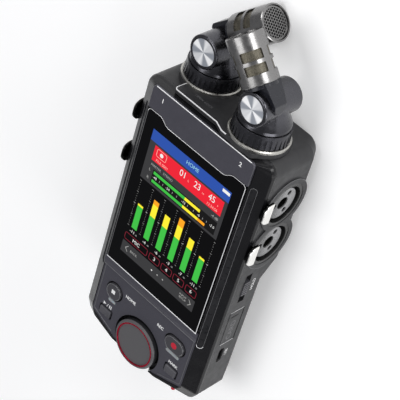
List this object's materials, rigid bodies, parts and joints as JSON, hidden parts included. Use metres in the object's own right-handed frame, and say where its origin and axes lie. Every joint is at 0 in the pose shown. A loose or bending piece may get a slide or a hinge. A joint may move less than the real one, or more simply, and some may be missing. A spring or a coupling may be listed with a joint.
{
  "type": "portable field recorder",
  "caption": "Hand-held digital audio recorder with a colour display, jog dial, combination jacks and a crossed pair of turning microphones.",
  "frame": {"origin": "middle of the whole object's footprint, on the plane of its flat back", "axes": "+Z out of the display, +Y towards the microphones, +X to the user's right"},
  "size_m": [0.0828, 0.201, 0.0383],
  "materials": {
    "gloss_black": "gloss black moulding",
    "charcoal": "fine textured moulding",
    "slate_plate": "satin metallic paint",
    "window_glass": "polished cover glass",
    "screen": "lit display",
    "rail": "satin strip",
    "button": "moulded key",
    "dial": "satin dial",
    "red_ring": "anodised red",
    "light_bar": "translucent light guide",
    "red_lens": "translucent lens",
    "socket_black": "connector shell",
    "socket_grey": "connector core",
    "latch": "satin nickel tab",
    "silver": "turned ring",
    "black_metal": "satin black anodised",
    "spun_disc": "spun face",
    "sleeve": "brushed nickel",
    "mesh": "woven mesh",
    "grille": "perforated nickel",
    "capsule": "diaphragm",
    "board": "circuit board",
    "component": "component case",
    "steel": "plated steel",
    "brass": "threaded insert",
    "cell": "cell wrap"
  },
  "bodies": {
    "case": {"front_housing": "gloss_black", "rear_housing": "charcoal", "top_deck": "charcoal", "top_bezel_plate": "slate_plate", "control_panel_plate": "slate_plate", "display_window": "window_glass", "display_module": "screen", "light_bars": "light_bar", "bottom_lens": "red_lens", "main_board": "board", "input_board": "board", "jog_encoder": "component", "tact_switches": "component", "sd_slot": "steel", "usb_port": "steel", "audio_jacks": "socket_black", "battery_tray": "socket_black", "battery_cells": "cell", "battery_contacts": "steel", "speaker": "component", "tripod_insert": "brass", "housing_screws": "steel", "side_rails": "rail", "combo_shells_left": "socket_black", "combo_inserts_left": "socket_grey", "mic_socket_left": "silver", "combo_shells_right": "socket_black", "combo_inserts_right": "socket_grey", "mic_socket_right": "silver"},
    "jog": {"jog_dial": "dial", "dial_ring": "red_ring"},
    "stop_key": {"stop_button": "button"},
    "record_key": {"rec_button": "button"},
    "play_key": {"play_button": "button"},
    "mark_key": {"mark_button": "button"},
    "volume_up_key": {"volume_up": "button"},
    "volume_down_key": {"volume_down": "button"},
    "hold_slider": {"power_slider": "button"},
    "card_door": {"sd_door": "charcoal"},
    "battery_lid": {"battery_cover": "charcoal"},
    "latch_left_1": {"latch_tab_left_1": "latch"},
    "latch_left_2": {"latch_tab_left_2": "latch"},
    "ring_left": {"lock_ring_left": "black_metal"},
    "mic_left": {"mic_barrel_left": "black_metal", "barrel_discs_left": "spun_disc", "mic_arm_left": "black_metal", "capsule_sleeve_left": "sleeve", "capsule_mesh_left": "mesh", "capsule_grille_left": "grille", "mic_capsule_left": "capsule"},
    "latch_right_1": {"latch_tab_right_1": "latch"},
    "latch_right_2": {"latch_tab_right_2": "latch"},
    "ring_right": {"lock_ring_right": "black_metal"},
    "mic_right": {"mic_barrel_right": "black_metal", "barrel_discs_right": "spun_disc", "mic_arm_right": "black_metal", "capsule_sleeve_right": "sleeve", "capsule_mesh_right": "mesh", "capsule_grille_right": "grille", "mic_capsule_right": "capsule"}
  },
  "joints": [
    {"name": "jog_turn", "type": "hinge", "parent": "case", "child": "jog", "pos_m": [0, -0.08748, 0.036], "axis": [0, 0, 1], "continuous": true},
    {"name": "stop_press", "type": "slide", "parent": "case", "child": "stop_key", "axis": [0, 0, -1], "range_m": [0, 0.0006], "stiffness_N_per_m": 900, "springref_m": -0.0006},
    {"name": "record_press", "type": "slide", "parent": "case", "child": "record_key", "axis": [0, 0, -1], "range_m": [0, 0.0006], "stiffness_N_per_m": 900, "springref_m": -0.0006},
    {"name": "play_press", "type": "slide", "parent": "case", "child": "play_key", "axis": [0, 0, -1], "range_m": [0, 0.0006], "stiffness_N_per_m": 900, "springref_m": -0.0006},
    {"name": "mark_press", "type": "slide", "parent": "case", "child": "mark_key", "axis": [0, 0, -1], "range_m": [0, 0.0006], "stiffness_N_per_m": 900, "springref_m": -0.0006},
    {"name": "volume_up_press", "type": "slide", "parent": "case", "child": "volume_up_key", "axis": [1, 0, 0], "range_m": [0, 0.0005], "stiffness_N_per_m": 900, "springref_m": -0.0006},
    {"name": "volume_down_press", "type": "slide", "parent": "case", "child": "volume_down_key", "axis": [1, 0, 0], "range_m": [0, 0.0005], "stiffness_N_per_m": 900, "springref_m": -0.0006},
    {"name": "latch_left_1_press", "type": "slide", "parent": "case", "child": "latch_left_1", "axis": [1, 0, 0], "range_m": [0, 0.0005], "stiffness_N_per_m": 900, "springref_m": -0.0012},
    {"name": "latch_left_2_press", "type": "slide", "parent": "case", "child": "latch_left_2", "axis": [1, 0, 0], "range_m": [0, 0.0005], "stiffness_N_per_m": 900, "springref_m": -0.0012},
    {"name": "latch_right_1_press", "type": "slide", "parent": "case", "child": "latch_right_1", "axis": [-1, 0, 0], "range_m": [0, 0.0005], "stiffness_N_per_m": 900, "springref_m": -0.0012},
    {"name": "latch_right_2_press", "type": "slide", "parent": "case", "child": "latch_right_2", "axis": [-1, 0, 0], "range_m": [0, 0.0005], "stiffness_N_per_m": 900, "springref_m": -0.0012},
    {"name": "hold_slide", "type": "slide", "parent": "case", "child": "hold_slider", "axis": [0, 1, 0], "range_m": [-0.0042, 0.0042]},
    {"name": "card_door_turn", "type": "hinge", "parent": "case", "child": "card_door", "pos_m": [0.0378, -0.04883, 0.0184], "axis": [0, 1, 0], "range_deg": [0, 95]},
    {"name": "battery_lid_slide", "type": "slide", "parent": "case", "child": "battery_lid", "axis": [0, -1, 0], "range_m": [0, 0.008]},
    {"name": "ring_left_turn", "type": "hinge", "parent": "case", "child": "ring_left", "pos_m": [-0.0193, 0.05892, 0.0135], "axis": [0, 1, 0], "range_deg": [0, 90]},
    {"name": "mic_left_turn", "type": "hinge", "parent": "case", "child": "mic_left", "pos_m": [-0.0193, 0.05892, 0.0135], "axis": [0, 1, 0], "range_deg": [0, 180]},
    {"name": "ring_right_turn", "type": "hinge", "parent": "case", "child": "ring_right", "pos_m": [0.0193, 0.05892, 0.0233], "axis": [0, 1, 0], "range_deg": [0, 90]},
    {"name": "mic_right_turn", "type": "hinge", "parent": "case", "child": "mic_right", "pos_m": [0.0193, 0.05892, 0.0233], "axis": [0, 1, 0], "range_deg": [0, 180]}
  ]
}
